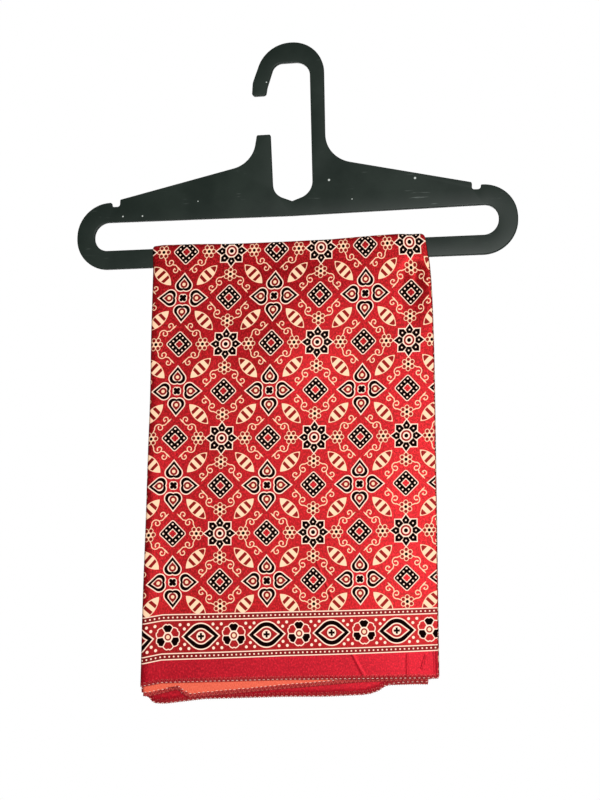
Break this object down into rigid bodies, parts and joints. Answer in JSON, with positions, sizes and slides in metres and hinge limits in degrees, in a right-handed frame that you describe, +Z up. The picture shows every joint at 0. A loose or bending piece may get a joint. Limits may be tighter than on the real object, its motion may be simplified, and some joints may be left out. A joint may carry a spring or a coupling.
{
  "type": "mashru silk stole on a clothes hanger",
  "caption": "Printed satin stole, folded lengthwise and doubled over the lower bar of a flat moulded hanger with an open hook.",
  "frame": {"origin": "top of the hook's inner curve, where a rail carries it, in the middle of the hanger's thickness", "axes": "+X along the hanger to the viewer's right, +Y away from the viewer through the hanger's thickness, +Z up"},
  "size_m": [0.445, 0.0193, 0.6581],
  "materials": {
    "plastic": "satin moulded, dark greenish black",
    "cloth": "satin-faced, deep red with a printed repeat in cream and black"
  },
  "bodies": {
    "root": {"hanger": "plastic", "stole": "cloth"}
  },
  "joints": []
}
